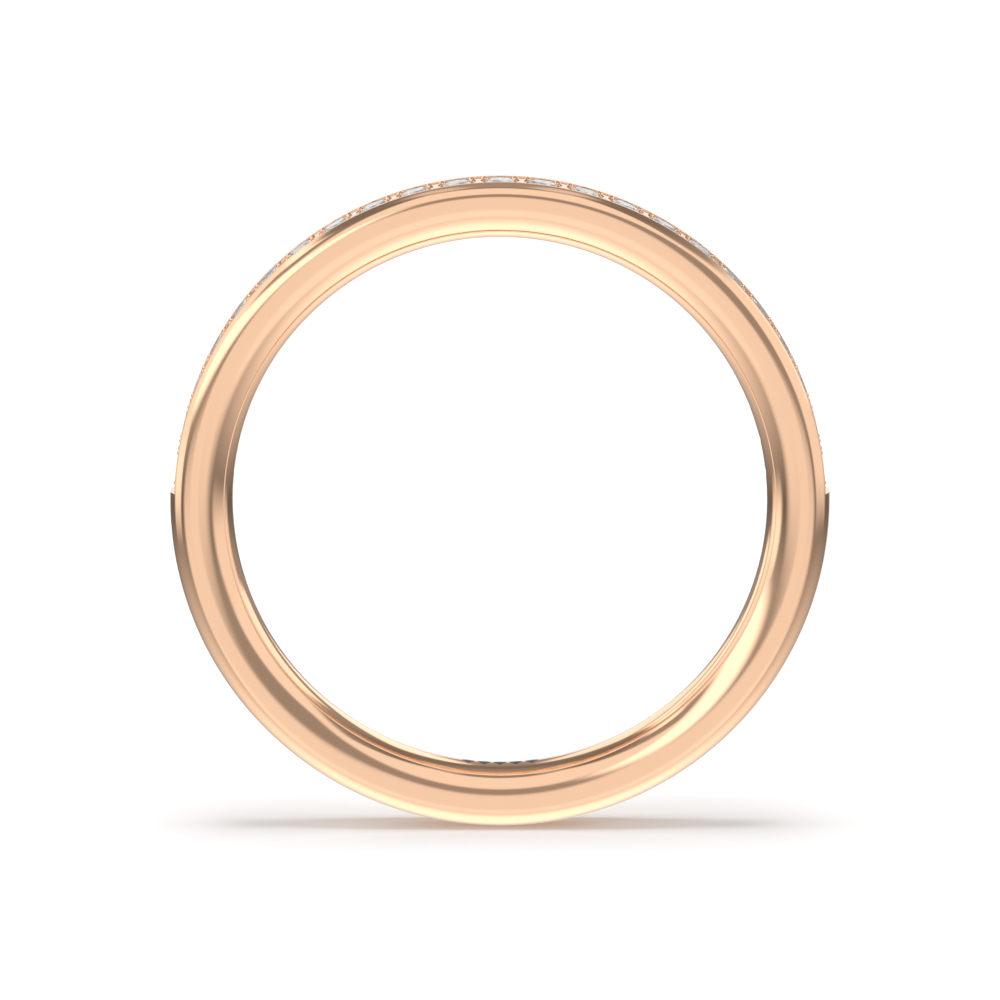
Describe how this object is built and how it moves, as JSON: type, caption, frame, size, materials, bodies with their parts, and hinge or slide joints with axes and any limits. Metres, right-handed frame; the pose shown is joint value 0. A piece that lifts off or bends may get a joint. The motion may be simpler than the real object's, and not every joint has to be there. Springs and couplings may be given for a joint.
{
  "type": "wedding band",
  "caption": "Half-eternity finger ring of rose gold: rounded court section, comfort-fit bore, flat-cut upper track of bead-set round brilliants.",
  "frame": {"origin": "centre of the finger bore, on its axis, midway across the band's width", "axes": "+Y along the bore (the finger's axis), +Z to the middle stone of the track, +X to the right-hand end of the track seen along +Y"},
  "size_m": [0.0214, 0.0022, 0.0213],
  "materials": {
    "rose_gold": "polished 18 ct rose gold",
    "diamond": "faceted and polished diamond"
  },
  "bodies": {
    "root": {"band": "rose_gold", "diamond_01": "diamond", "diamond_02": "diamond", "diamond_03": "diamond", "diamond_04": "diamond", "diamond_05": "diamond", "diamond_06": "diamond", "diamond_07": "diamond", "diamond_08": "diamond", "diamond_09": "diamond", "diamond_10": "diamond", "diamond_11": "diamond", "diamond_12": "diamond", "diamond_13": "diamond", "diamond_14": "diamond", "diamond_15": "diamond", "diamond_16": "diamond", "diamond_17": "diamond", "diamond_18": "diamond", "diamond_19": "diamond", "diamond_20": "diamond", "diamond_21": "diamond", "diamond_22": "diamond", "diamond_23": "diamond"}
  },
  "joints": []
}
